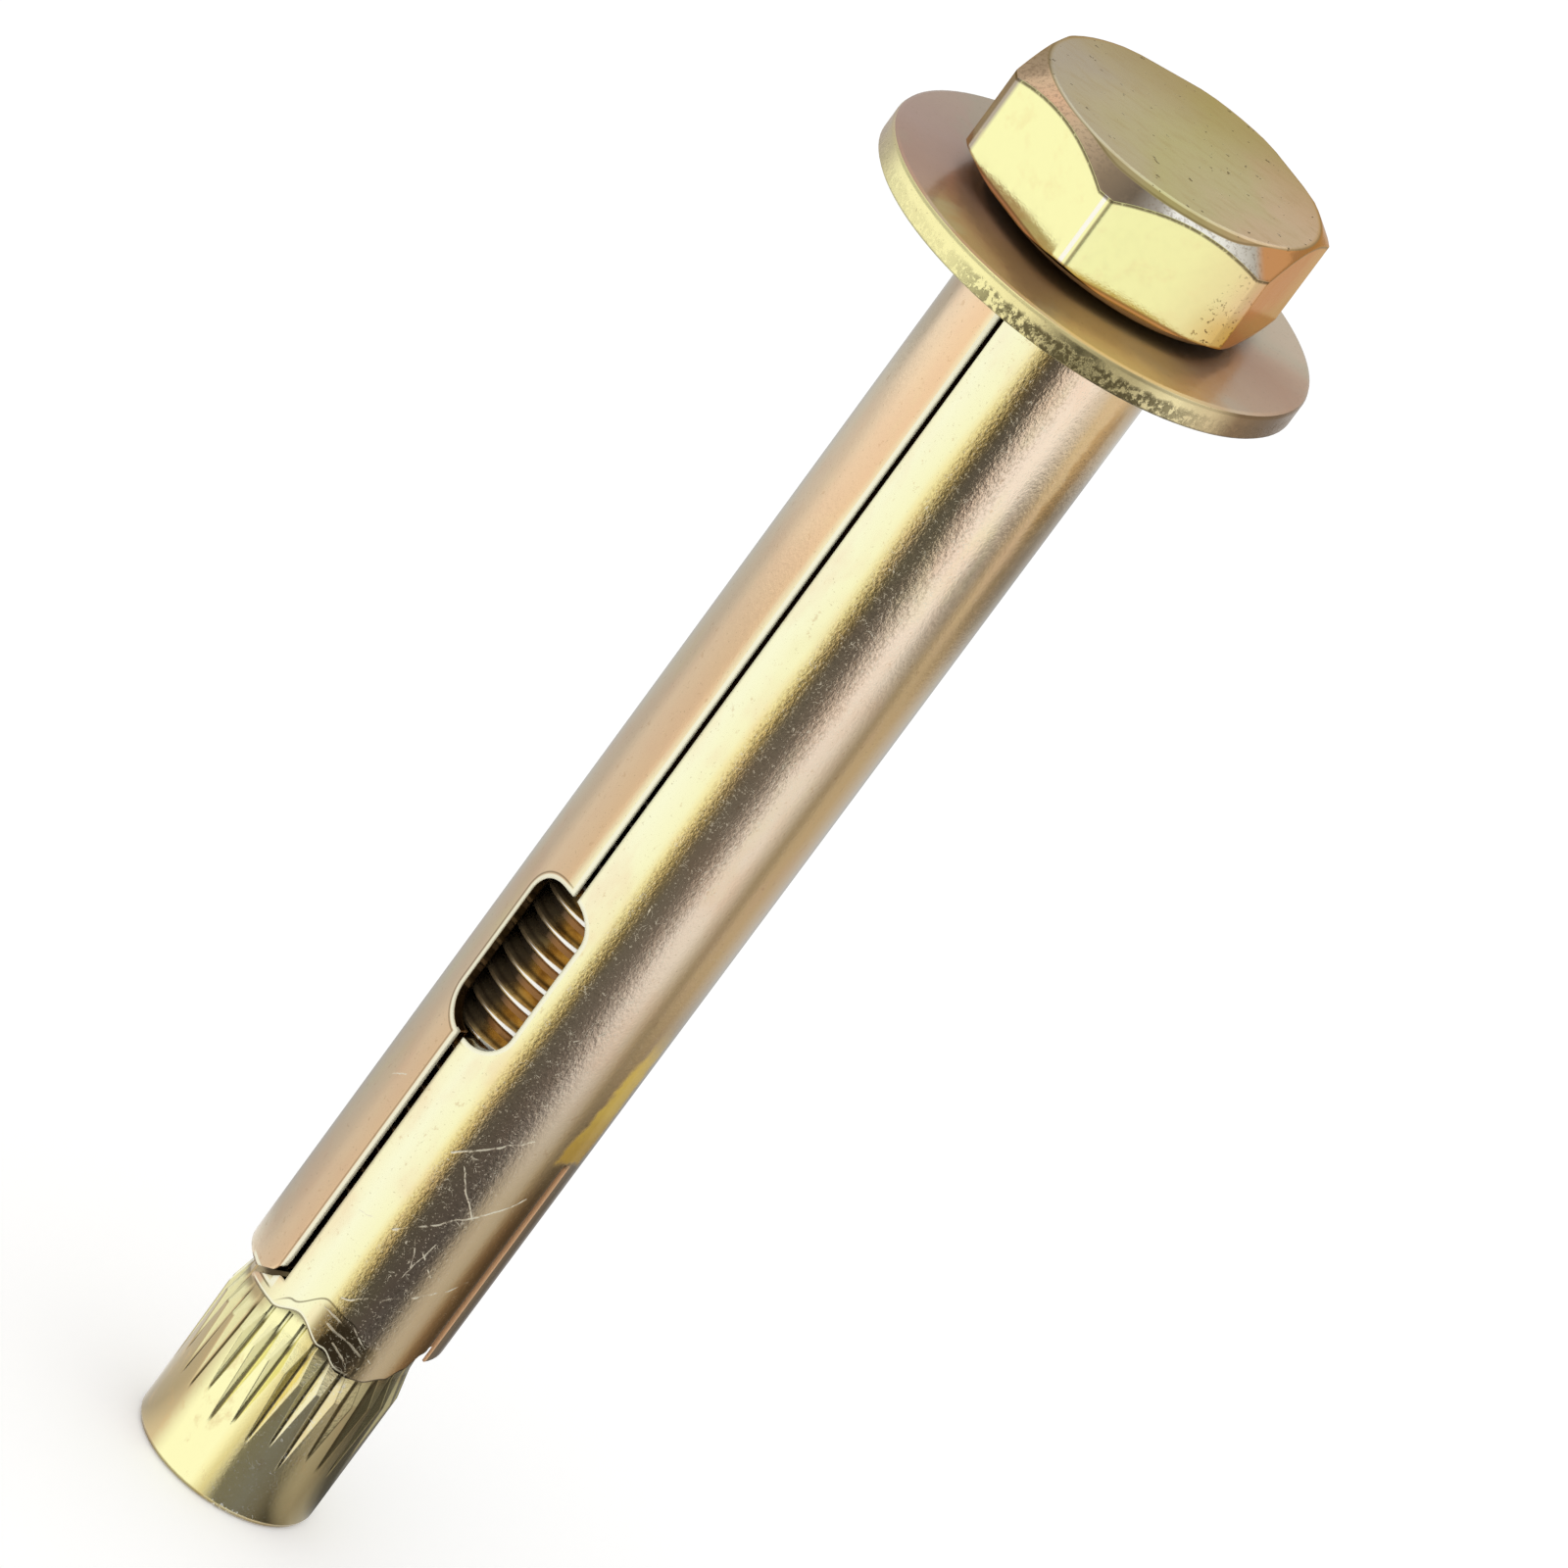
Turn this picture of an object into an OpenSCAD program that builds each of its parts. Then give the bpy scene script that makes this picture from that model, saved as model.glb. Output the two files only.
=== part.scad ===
// Sleeve anchor: hexagon bolt, flat washer, rolled expansion sleeve and cone nut.
// Millimetres. The anchor stands on the flat end of its cone nut, head up, axis on Z.
// Angles round the axis are counted from the front (-Y), positive towards +X.

/* [Sleeve] */
// Outside diameter of the rolled sleeve
sleeve_d = 12; // [11.6:0.1:12.4]
// Thickness of the sleeve's sheet
sheet_t = 0.8; // [0.7:0.05:0.9]
// Length of the sleeve, from its longest leaf to the washer
sleeve_l = 73.5; // [65:0.5:100]
// Width of the butt seam above the window
seam_gap = 0.36; // [0.2:0.02:0.6]
// Where the seam runs, in degrees from the front
seam_angle = -25.5; // [-30:0.5:-20]
// Edge break on the sleeve's top end
sleeve_edge = 0.15; // [0.1:0.05:0.25]

/* [Window and slits] */
// Width of the oblong window, straight across
window_w = 4.5; // [3.5:0.1:5]
// Length of the window along the sleeve
window_l = 10.4; // [8:0.2:14]
// Corner radius of the window
window_r = 1.9; // [1:0.1:2.2]
// Middle of the window, in degrees from the front
window_angle = -30.8; // [-34:0.2:-28]
// Height of the window's lower end above the sleeve's longest leaf
window_up = 20.2; // [17:0.2:24]
// Width of the seam where it has sprung open, below the window
split_gap = 0.5; // [0.3:0.02:0.7]
// Middle of the sprung seam, in degrees from the front
split_angle = -32.9; // [-34:0.1:-32]
// Number of leaves that the seam and the plain slits leave
leaf_count = 4; // [3:1:5]
// Width of a plain slit
slit_gap = 0.5; // [0.4:0.05:1]
// Length of a plain slit, from the longest leaf
slit_l = 16.6; // [12:0.2:19]

/* [Leaf ends] */
// How much shorter the leaf on the seam's left is
left_leaf_up = 1.45; // [1:0.05:1.8]
// How much shorter the leaves behind are
back_leaf_up = 2.1; // [1:0.1:2.5]
// Corner radius of a leaf at a plain slit
leaf_corner_r = 1.6; // [0.8:0.1:2]
// Gap between the seam's left leaf and the tongue that hooks under it
tongue_gap = 0.26; // [0.2:0.02:0.34]
// Depth of the staking dent that holds the sleeve on the nut
dent_depth = 0.34; // [0.1:0.02:0.45]
// Radius of the staking tool's ball nose
dent_r = 4.6; // [2:0.2:5]
// Height of the dent's middle above the longest leaf's end
dent_up = 1; // [0.4:0.1:1.4]
// Where the staking dent is, in degrees from the front
dent_angle = 16; // [5:1:25]

/* [Cone nut] */
// How far the nut's cylinder stands back from the sleeve's outside
nut_step = 0.45; // [0.3:0.05:0.55]
// Length of the nut's cylinder
nut_body_l = 9; // [7:0.5:12]
// Length of the shoulder between the cylinder and the sleeve's mouth
shoulder_l = 1.9; // [1.5:0.1:3]
// Length of the cone inside the sleeve
cone_l = 6.5; // [4:0.5:8]
// Half angle of the cone, in degrees
cone_angle = 3.6; // [2:0.2:4]
// Edge break on the nut's flat end
nut_edge = 0.4; // [0.2:0.05:0.45]
// Clearance between the nut's tapping hole and the bolt's core
bore_clearance = 0.06; // [0.04:0.01:0.1]
// Gap between the cone and the sleeve's mouth
mouth_gap = 0.06; // [0.04:0.01:0.1]

/* [Splines] */
// Number of rolled splines round the nut
spline_count = 30; // [24:1:36]
// Where the first groove is, in degrees from the front
spline_turn = 4; // [0:1:12]
// How deep a groove still is in the shoulder where the sleeve begins
spline_bite = 0.1; // [0.02:0.02:0.14]
// Angle between the two flanks of a groove
spline_v = 96; // [70:2:120]
// Width of a groove's blunt root
spline_root = 0.12; // [0.08:0.02:0.2]
// Height above the flat end where the grooves run out
spline_from = 4.3; // [3:0.1:6]
// How far the run-outs differ from each other
spline_scatter = 0.7; // [0:0.1:1]

/* [Washer] */
// Outside diameter of the washer
washer_d = 25.8; // [22:0.2:30]
// Thickness of the washer
washer_t = 1.64; // [1.2:0.02:2.5]
// Clearance of the washer's hole round the shank
washer_clearance = 0.5; // [0.3:0.05:0.6]
// How far the loose washer has slid on the shank, towards -X
washer_off = 0.45; // [0:0.05:0.45]
// Rolled edge on the washer's upper side
washer_edge = 0.25; // [0.1:0.05:0.4]

/* [Bolt] */
// Clearance between the plain shank and the sleeve's bore
shank_clearance = 0.3; // [0.2:0.05:0.4]
// Length of the thread
thread_l = 48; // [44:1:52]
// Core diameter of the thread, whose ridge is left off
thread_core_d = 8.38; // [8.3:0.02:8.38]
// How far the bolt's tip stays inside the nut
tip_recess = 1; // [0.5:0.1:3]
// How far the head is turned from having two corners on the X axis
head_turn = 20.5; // [0:0.5:60]
// Width across flats of the head
head_af = 17; // [16:0.1:18]
// Height of the hexagon
head_h = 6.2; // [5:0.1:7]
// How far the trimmed hexagon sits off the shank's axis, towards -X
head_off = 0.38; // [0:0.02:0.5]
// How far the hexagon's upright corners are rounded off
head_corner = 0.24; // [0.08:0.02:0.3]
// Diameter of the head's flat top
head_top_d = 17; // [15:0.1:17.2]
// How far the top's turned edge sits off the hexagon's centre, towards +Y
head_top_off = 0.55; // [0:0.05:0.6]
// Angle of the chamfer round the head's top
head_chamfer = 38; // [28:1:42]
// Chamfer on the head's lower corners
head_lower_chamfer = 0.4; // [0.1:0.05:0.6]
// Diameter of the washer face under the head
washer_face_d = 15.2; // [14:0.1:15.8]
// Thickness of the washer face
washer_face_t = 0.55; // [0.3:0.05:0.8]
// Slack between the washer and the head before tightening
head_slack = 0.45; // [0.3:0.05:1]

/* [Hidden] */
$fn = 96;

zinc_yellow = [0.80, 0.71, 0.42];
zinc_pink = [0.78, 0.64, 0.46];
zinc_olive = [0.66, 0.60, 0.43];

past = 1;                            // how far a cutter runs past what it cuts
sleeve_r = sleeve_d / 2;
sleeve_bore_r = sleeve_r - sheet_t;
shank_r = sleeve_bore_r - shank_clearance;
core_r = thread_core_d / 2;
nut_bore_r = core_r + bore_clearance;
nut_r = sleeve_r - nut_step;
mouth_r = sleeve_bore_r - mouth_gap; // the cone where the longest leaf ends
sleeve_z = nut_body_l + shoulder_l;  // the longest leaf's end
sleeve_top = sleeve_z + sleeve_l;
nose_r = mouth_r - cone_l * tan(cone_angle);
nut_top = sleeve_z + cone_l;
bore_chamfer = 0.3;
washer_bore_r = shank_r + washer_clearance;
head_z = sleeve_top + washer_t + head_slack;
hex_z = head_z + washer_face_t;
head_top = hex_z + head_h;
thread_top = tip_recess + thread_l;
leaf_pitch = 360 / leaf_count;
slit_angles = [for (i = [1 : leaf_count - 1]) seam_angle + i * leaf_pitch];
window_z = sleeve_z + window_up;

// The front leaf's trimmed end: [degrees from the front, height above its lowest point].
tongue_low = 0.9;
front_wave = [
    [-52, tongue_low], [-29, tongue_low], [-13, 1.7], [6, 0.75], [20, 0],
    [34, 0.12], [46, 0.65], [54, 1.5], [60, 2.7], [64, 3.1]
];
wave_steps = 5;
// The slanted upper edge of the tongue, from its tip to the sprung seam.
tongue_edge = [[-51.5, 1.15], [-45, 1.6], [-38.5, 2.05], [-34.5, 2.45], [-32, 3.05], [-30.9, 3.9]];
tongue_turn = -44;                   // the tongue is cut square to the wall here
hook_angle = 305;                    // the left leaf's trimmed end reaches from the last slit to here

// A smooth step from 0 to 1.
function ease(t) = (1 - cos(180 * t)) / 2;

// A wave drawn smoothly through its crests and troughs.
function wave_points(w) = concat(
    [for (i = [0 : len(w) - 2], k = [0 : wave_steps - 1])
        let (t = k / wave_steps)
        [w[i][0] + (w[i + 1][0] - w[i][0]) * t, w[i][1] + (w[i + 1][1] - w[i][1]) * ease(t)]],
    [w[len(w) - 1]]
);

// A point of the unrolled sheet, seen square on from the given angle.
function seen_from(dir, p, z0 = 0) = [sleeve_r * sin(p[0] - dir), z0 + p[1]];

// A flat shape pushed out of the axis towards the given angle.
module towards(angle) {
    rotate([0, 0, angle]) rotate([90, 0, 0])
        linear_extrude(height = sleeve_r + past) children();
}

// A slit through one wall, from z0 up to z1.
module slit(angle, gap, z0, z1) {
    towards(angle) translate([-gap / 2, z0]) square([gap, z1 - z0]);
}

module window_shape() {
    flat_w = window_w - 2 * window_r;
    flat_l = window_l - 2 * window_r;
    translate([-window_w / 2, window_r]) square([window_w, flat_l]);
    if (flat_w > 0) translate([-flat_w / 2, 0]) square([flat_w, window_l]);
    for (x = [-flat_w / 2, flat_w / 2], y = [window_r, window_l - window_r])
        translate([x, y]) circle(r = window_r);
}

// What the trimming tool takes off the front leaf's end.
module front_trim() {
    edge = [for (p = wave_points(front_wave)) seen_from(0, p, sleeve_z)];
    low = sleeve_z - past;
    first = edge[0];
    last = edge[len(edge) - 1];
    towards(0) polygon(concat([[first[0], low]], edge, [[last[0], low]]));
}

// The J-shaped end of the sprung seam, between the left leaf and the tongue.
module seam_hook() {
    lower = [for (p = tongue_edge) seen_from(tongue_turn, p, sleeve_z)];
    upper = [for (i = [len(tongue_edge) - 1 : -1 : 0])
        let (q = seen_from(tongue_turn, tongue_edge[i], sleeve_z), open = i > 2 ? split_gap : tongue_gap)
        [q[0] - open * 0.9, q[1] + (i > 3 ? 0 : tongue_gap)]];
    tip = lower[0];
    towards(tongue_turn) polygon(concat(
        [[tip[0] - past, sleeve_z - past], [tip[0], sleeve_z - past]], lower,
        upper, [[tip[0] - past, sleeve_z + left_leaf_up]]));
}

// Everything below the given height, between two angles under half a turn apart.
module sector_trim(from, to, up) {
    reach = 2 * sleeve_r;
    mid = (from + to) / 2;
    translate([0, 0, sleeve_z - past]) linear_extrude(height = up + past)
        polygon([[0, 0],
            [reach * sin(from), -reach * cos(from)],
            [reach * sin(mid), -reach * cos(mid)] * 1.2,
            [reach * sin(to), -reach * cos(to)]]);
}

// The flared mouth between the rounded corners of two leaves.
module slit_mouth(angle, up) {
    steps = 5;
    side = [for (i = [0 : steps])
        let (a = 72 * i / steps)
        [slit_gap / 2 + leaf_corner_r * (1 - cos(a)), sleeve_z + up + leaf_corner_r * (1 - sin(a))]];
    wide = side[steps][0] + past;
    low = side[steps][1] - past;
    towards(angle) polygon(concat(
        side, [[wide, low], [-wide, low]], [for (i = [steps : -1 : 0]) [-side[i][0], side[i][1]]]));
}

module staking_dent() {
    rotate([0, 0, dent_angle])
        translate([0, -(sleeve_r + dent_r - dent_depth), sleeve_z + dent_up]) sphere(r = dent_r);
}

module sleeve() {
    color(zinc_pink) difference() {
        rotate_extrude() polygon([
            [sleeve_bore_r, sleeve_z],
            [sleeve_r, sleeve_z],
            [sleeve_r, sleeve_top - sleeve_edge],
            [sleeve_r - sleeve_edge, sleeve_top],
            [sleeve_bore_r, sleeve_top]
        ]);
        slit(seam_angle, seam_gap, window_z + window_l / 2, sleeve_top + past);
        slit(split_angle, split_gap, sleeve_z + tongue_edge[3][1], window_z + window_l / 2);
        towards(window_angle) translate([0, window_z]) window_shape();
        for (a = slit_angles) slit(a, slit_gap, sleeve_z - past, sleeve_z + slit_l);
        front_trim();
        seam_hook();
        sector_trim(slit_angles[len(slit_angles) - 1], hook_angle, left_leaf_up);
        for (i = [1 : len(slit_angles) - 1]) sector_trim(slit_angles[i - 1], slit_angles[i], back_leaf_up);
        for (i = [1 : len(slit_angles) - 1]) slit_mouth(slit_angles[i], back_leaf_up);
        staking_dent();
    }
}

// One V groove, a little blunt at its root, that runs out to a point towards the nut's flat end.
module spline_groove(from) {
    run = sleeve_z - from;
    slope = atan((nut_r - mouth_r + spline_bite) / run);
    flank = 2 * past;
    blunt = spline_root / 2;
    reach = blunt + flank * tan(spline_v / 2);
    translate([0, -nut_r, from]) rotate([-slope, 0, 0])
        linear_extrude(height = run + past)
        polygon([[-blunt, 0], [blunt, 0], [reach, -flank], [-reach, -flank]]);
}

module cone_nut() {
    color(zinc_yellow) difference() {
        rotate_extrude() polygon([
            [nut_bore_r + bore_chamfer, 0],
            [nut_r - nut_edge, 0],
            [nut_r - nut_edge * 0.3, nut_edge * 0.3],
            [nut_r, nut_edge],
            [nut_r, nut_body_l],
            [mouth_r, sleeve_z],
            [nose_r, nut_top],
            [nut_bore_r, nut_top],
            [nut_bore_r, bore_chamfer]
        ]);
        for (i = [0 : spline_count - 1])
            rotate([0, 0, spline_turn + i * 360 / spline_count])
                spline_groove(spline_from + spline_scatter * sin(i * 137.5));
    }
}

module washer() {
    color(zinc_pink) translate([-washer_off, 0, sleeve_top]) rotate_extrude() polygon([
        [washer_bore_r, 0],
        [washer_d / 2 - washer_edge / 2, 0],
        [washer_d / 2, washer_edge / 2],
        [washer_d / 2, washer_t - washer_edge],
        [washer_d / 2 - washer_edge * 0.3, washer_t - washer_edge * 0.3],
        [washer_d / 2 - washer_edge, washer_t],
        [washer_bore_r, washer_t]
    ]);
}

// A hexagon whose corners are turned down, with two corners on the X axis.
module round_hexagon() {
    sharp_r = head_af / 2 / cos(30);
    intersection() {
        circle(r = sharp_r, $fn = 6);
        circle(r = sharp_r - head_corner);
    }
}

module head() {
    out_r = head_af / 2 / cos(30) + past;
    top_r = head_top_d / 2;
    low_r = head_af / 2 / cos(30) - 3 * head_lower_chamfer;
    soft = 0.3;                      // the top's softened edge
    translate([-head_off, 0, hex_z]) intersection() {
        rotate([0, 0, head_turn]) linear_extrude(height = head_h) round_hexagon();
        translate([0, head_top_off, 0]) rotate_extrude() polygon([
            [0, 0],
            [out_r, 0],
            [out_r, head_h - soft / 4 - (out_r - top_r) * tan(head_chamfer)],
            [top_r, head_h - soft / 4],
            [top_r - soft, head_h],
            [0, head_h]
        ]);
        rotate_extrude() polygon([
            [0, 0],
            [low_r, 0],
            [out_r, (out_r - low_r) / 2],
            [out_r, head_h],
            [0, head_h]
        ]);
    }
}

module hex_bolt() {
    tip_chamfer = 0.6;
    color(zinc_olive) {
        head();
        rotate_extrude() polygon([
            [0, tip_recess],
            [core_r - tip_chamfer, tip_recess],
            [core_r, tip_recess + tip_chamfer],
            [core_r, thread_top],
            [shank_r, thread_top + (shank_r - core_r)],
            [shank_r, head_z],
            [washer_face_d / 2, head_z],
            [washer_face_d / 2, hex_z + past],
            [0, hex_z + past]
        ]);
    }
}

cone_nut();
sleeve();
washer();
hex_bolt();
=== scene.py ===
# Sleeve anchor in yellow zinc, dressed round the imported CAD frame. Metres, head up, front on -Y.
import math

import bpy
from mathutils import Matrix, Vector


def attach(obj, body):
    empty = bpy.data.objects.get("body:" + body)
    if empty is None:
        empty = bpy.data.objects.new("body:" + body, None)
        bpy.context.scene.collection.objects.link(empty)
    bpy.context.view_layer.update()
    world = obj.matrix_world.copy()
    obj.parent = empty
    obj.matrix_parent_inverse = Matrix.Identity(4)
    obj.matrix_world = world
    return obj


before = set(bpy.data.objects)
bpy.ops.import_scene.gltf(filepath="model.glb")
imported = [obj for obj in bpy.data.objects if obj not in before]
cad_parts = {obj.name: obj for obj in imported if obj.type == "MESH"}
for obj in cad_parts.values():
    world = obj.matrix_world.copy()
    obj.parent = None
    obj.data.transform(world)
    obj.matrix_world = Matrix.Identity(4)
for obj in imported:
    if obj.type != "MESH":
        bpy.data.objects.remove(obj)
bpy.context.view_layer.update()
print("frame loaded:", ", ".join(sorted(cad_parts)))

mm = 0.001


# one output socket, so that shader maths can be written as an expression
class Wire:
    def __init__(self, paint, socket):
        self.paint = paint
        self.socket = socket

    def __add__(self, other):
        return self.paint.maths("ADD", self, other)

    def __radd__(self, other):
        return self.paint.maths("ADD", other, self)

    def __sub__(self, other):
        return self.paint.maths("SUBTRACT", self, other)

    def __rsub__(self, other):
        return self.paint.maths("SUBTRACT", other, self)

    def __mul__(self, other):
        return self.paint.maths("MULTIPLY", self, other)

    def __truediv__(self, other):
        return self.paint.maths("DIVIDE", self, other)

    def __neg__(self):
        return self.paint.maths("MULTIPLY", self, -1.0)

    def __abs__(self):
        return self.paint.maths("ABSOLUTE", self)


# a material and the helpers that add its nodes
class Paint:
    def __init__(self, name):
        self.material = bpy.data.materials.new(name)
        self.material.use_nodes = True
        self.tree = self.material.node_tree
        self.tree.nodes.clear()
        self.place = None

    def node(self, kind, sockets=None, out=0, stops=None, **settings):
        made = self.tree.nodes.new("ShaderNode" + kind)
        for key, value in settings.items():
            setattr(made, key, value)
        if stops:
            ramp = made.color_ramp
            while len(ramp.elements) > 1:
                ramp.elements.remove(ramp.elements[-1])
            for i, (position, colour) in enumerate(stops):
                stop = ramp.elements[0] if i == 0 else ramp.elements.new(position)
                stop.position = position
                stop.color = (*colour, 1.0) if isinstance(colour, tuple) else (colour, colour, colour, 1.0)
        for key, value in (sockets or {}).items():
            if isinstance(value, Wire):
                self.tree.links.new(value.socket, made.inputs[key])
            else:
                made.inputs[key].default_value = value
        return Wire(self, made.outputs[out]) if made.outputs else None

    def maths(self, operation, first, second=0.0, third=0.0):
        return self.node("Math", {0: first, 1: second, 2: third}, operation=operation)

    def smooth(self, value, low, high, start=0.0, end=1.0):
        return self.node("MapRange", {0: value, 1: low, 2: high, 3: start, 4: end},
                         interpolation_type="SMOOTHSTEP")

    # falls from 1 at low to 0 at high
    def fade(self, value, low, high):
        return self.smooth(value, low, high, 1.0, 0.0)

    def most(self, first, *others):
        for other in others:
            first = self.maths("MAXIMUM", first, other)
        return first

    def hypotenuse(self, first, second):
        return self.maths("SQRT", first * first + second * second)

    def blend(self, factor, first, second, way="MIX"):
        return self.node("Mix", {0: factor, 6: first, 7: second}, out=2,
                         data_type="RGBA", blend_type=way, clamp_factor=True)

    def ramp(self, value, stops, way="LINEAR"):
        made = self.node("ValToRGB", {0: value}, stops=stops)
        made.socket.node.color_ramp.interpolation = way
        return made

    # a ramp whose stops are in degrees from the front
    def dial(self, turn, stops, way="LINEAR"):
        return self.ramp(turn / 360.0 + 0.5, [(degrees / 360 + 0.5, shade) for degrees, shade in stops], way)

    def noise(self, vector, scale, detail=2.0, rough=0.5, out=0, **more):
        return self.node("TexNoise", {"Vector": vector, "Scale": scale, "Detail": detail,
                                      "Roughness": rough, **more}, out=out)

    def millimetres(self):
        if self.place is None:
            point = self.node("TexCoord", out=3)
            self.place = self.node("VectorMath", {0: point, 3: 1000.0}, operation="SCALE")
        return self.place

    def stretched(self, x, y, z):
        return self.node("VectorMath", {0: self.millimetres(), 1: (x, y, z)}, operation="MULTIPLY")

    def parts(self):
        split = self.node("SeparateXYZ", {0: self.millimetres()})
        return [Wire(self, socket) for socket in split.socket.node.outputs]

    # the normal's share of straight up
    def upward(self):
        return self.node("SeparateXYZ", {0: self.node("TexCoord", out=1)}, out=2)

    # degrees round the axis from the front, positive towards +X
    def turn(self):
        x, y, z = self.parts()
        return self.maths("ARCTAN2", x, -y) * math.degrees(1)

    # the cylinder unrolled: arc length and height
    def rolled(self, radius):
        height = self.parts()[2]
        return self.node("CombineXYZ", {0: self.turn() * math.radians(radius), 1: height, 2: 0.0})

    # a straight mark on the unrolled cylinder, between two points of (degrees, height)
    def stroke(self, place, start, end, radius, width, shift):
        first = Vector((math.radians(start[0]) * radius + shift, start[1] + shift, shift))
        run = Vector((math.radians(end[0]) * radius + shift, end[1] + shift, shift)) - first
        apart = self.node("VectorMath", {0: place, 1: tuple(first)}, operation="SUBTRACT")
        scaled = tuple(run / run.length_squared)
        share = self.node("VectorMath", {0: apart, 1: scaled}, out=1, operation="DOT_PRODUCT")
        share = self.node("Clamp", {0: share})
        foot = self.node("VectorMath", {0: tuple(run), 3: share}, operation="SCALE")
        miss = self.node("VectorMath", {0: apart, 1: foot}, out=1, operation="DISTANCE")
        return self.fade(miss, width * 0.4, width * 1.6)

    def finish(self, shader):
        self.node("OutputMaterial", {"Surface": shader})
        return self.material

    # glancing tints what is mirrored at a grazing angle
    def metal(self, colour, rough, normal, metallic=1.0, glancing=(1.0, 1.0, 1.0)):
        sockets = {"Base Color": colour, "Metallic": metallic, "Roughness": rough, "Normal": normal,
                   "Specular Tint": (*glancing, 1.0)}
        return self.finish(self.node("BsdfPrincipled", sockets))


def tint(red, green, blue):
    return (red, green, blue, 1.0)


# yellow zinc plating, shared by all the pieces
zinc = {
    "grain": 5.2,              # per millimetre
    "grainHeight": 0.0060 * mm,
    "fine": 13.0,
    "fineHeight": 0.0016 * mm,
    "ripple": 0.45,
    "rippleHeight": 0.010 * mm,
    "rollOver": 0.26 * mm,     # radius of the worn and rolled-over edges
    "shadeReach": 0.75 * mm,
    # colour of the painted shade in gaps, cut walls and recesses
    "paintedShade": (0.035, 0.020, 0.010),
    # pale colour of scratches and scuffs, also used for the painted highlight along the creases
    "scuffAndHighlight": (0.86, 0.80, 0.62),
}


def zincBump(paint, grain=1.0, along=(1.0, 1.0, 1.0), extra=None, edge=1.0):
    place = paint.stretched(*along)
    coarse = paint.noise(place, zinc["ripple"], 2.0)
    medium = paint.noise(place, zinc["grain"], 3.0, 0.6)
    fine = paint.noise(place, zinc["fine"], 2.0)
    height = (coarse * (zinc["rippleHeight"] / mm) + medium * (grain * zinc["grainHeight"] / mm)
              + fine * (grain * zinc["fineHeight"] / mm))
    if extra is not None:
        height = height + extra
    soft = paint.node("Bevel", {"Radius": zinc["rollOver"] * edge}, samples=6)
    return paint.node("Bump", {"Height": height, "Strength": 1.0, "Distance": mm, "Normal": soft})


# how shut in a point is, from 0 in the open to 1 deep in a gap
def shutIn(paint, open=0.72, shut=0.30, reach=1.0):
    lit = paint.node("AmbientOcclusion", {"Distance": zinc["shadeReach"] * reach}, out=1, samples=8)
    return paint.fade(lit, shut, open)


# short curved hairs and scuffs that catch the light
def fibres(paint, amount=1.0):
    swirl = paint.noise(paint.millimetres(), 1.5, 1.0, 0.5, Distortion=1.4)
    line = paint.fade(abs(swirl - 0.5), 0.0, 0.020)
    patch = paint.smooth(paint.noise(paint.millimetres(), 1.6, 2.0), 0.53, 0.62)
    grit = paint.smooth(paint.noise(paint.millimetres(), 6.5, 1.0), 0.64, 0.70)
    return paint.most(line * patch, grit * 0.55) * amount


# 1 between low and high, with soft ends
def within(paint, value, low, high, soft):
    return paint.smooth(value, low - soft, low + soft) * paint.fade(value, high - soft, high + soft)


# distance across the sheet from the middle of a cut that faces the given angle
def across(paint, angle):
    x, y, z = paint.parts()
    return x * math.cos(math.radians(angle)) + y * math.sin(math.radians(angle))


# height of a line drawn round the cylinder through (degrees, height) points
def drawnLine(paint, turn, points, low=8.0, span=10.0):
    stops = [(degrees, ((height - low) / span,) * 3) for degrees, height in points]
    return paint.dial(turn, stops, "EASE") * span + low


# roughness that drifts between two values
def uneven(paint, smoothest, roughest, scale=3.0):
    return paint.smooth(paint.noise(paint.millimetres(), scale, 3.0), 0.3, 0.7, smoothest, roughest)


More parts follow.
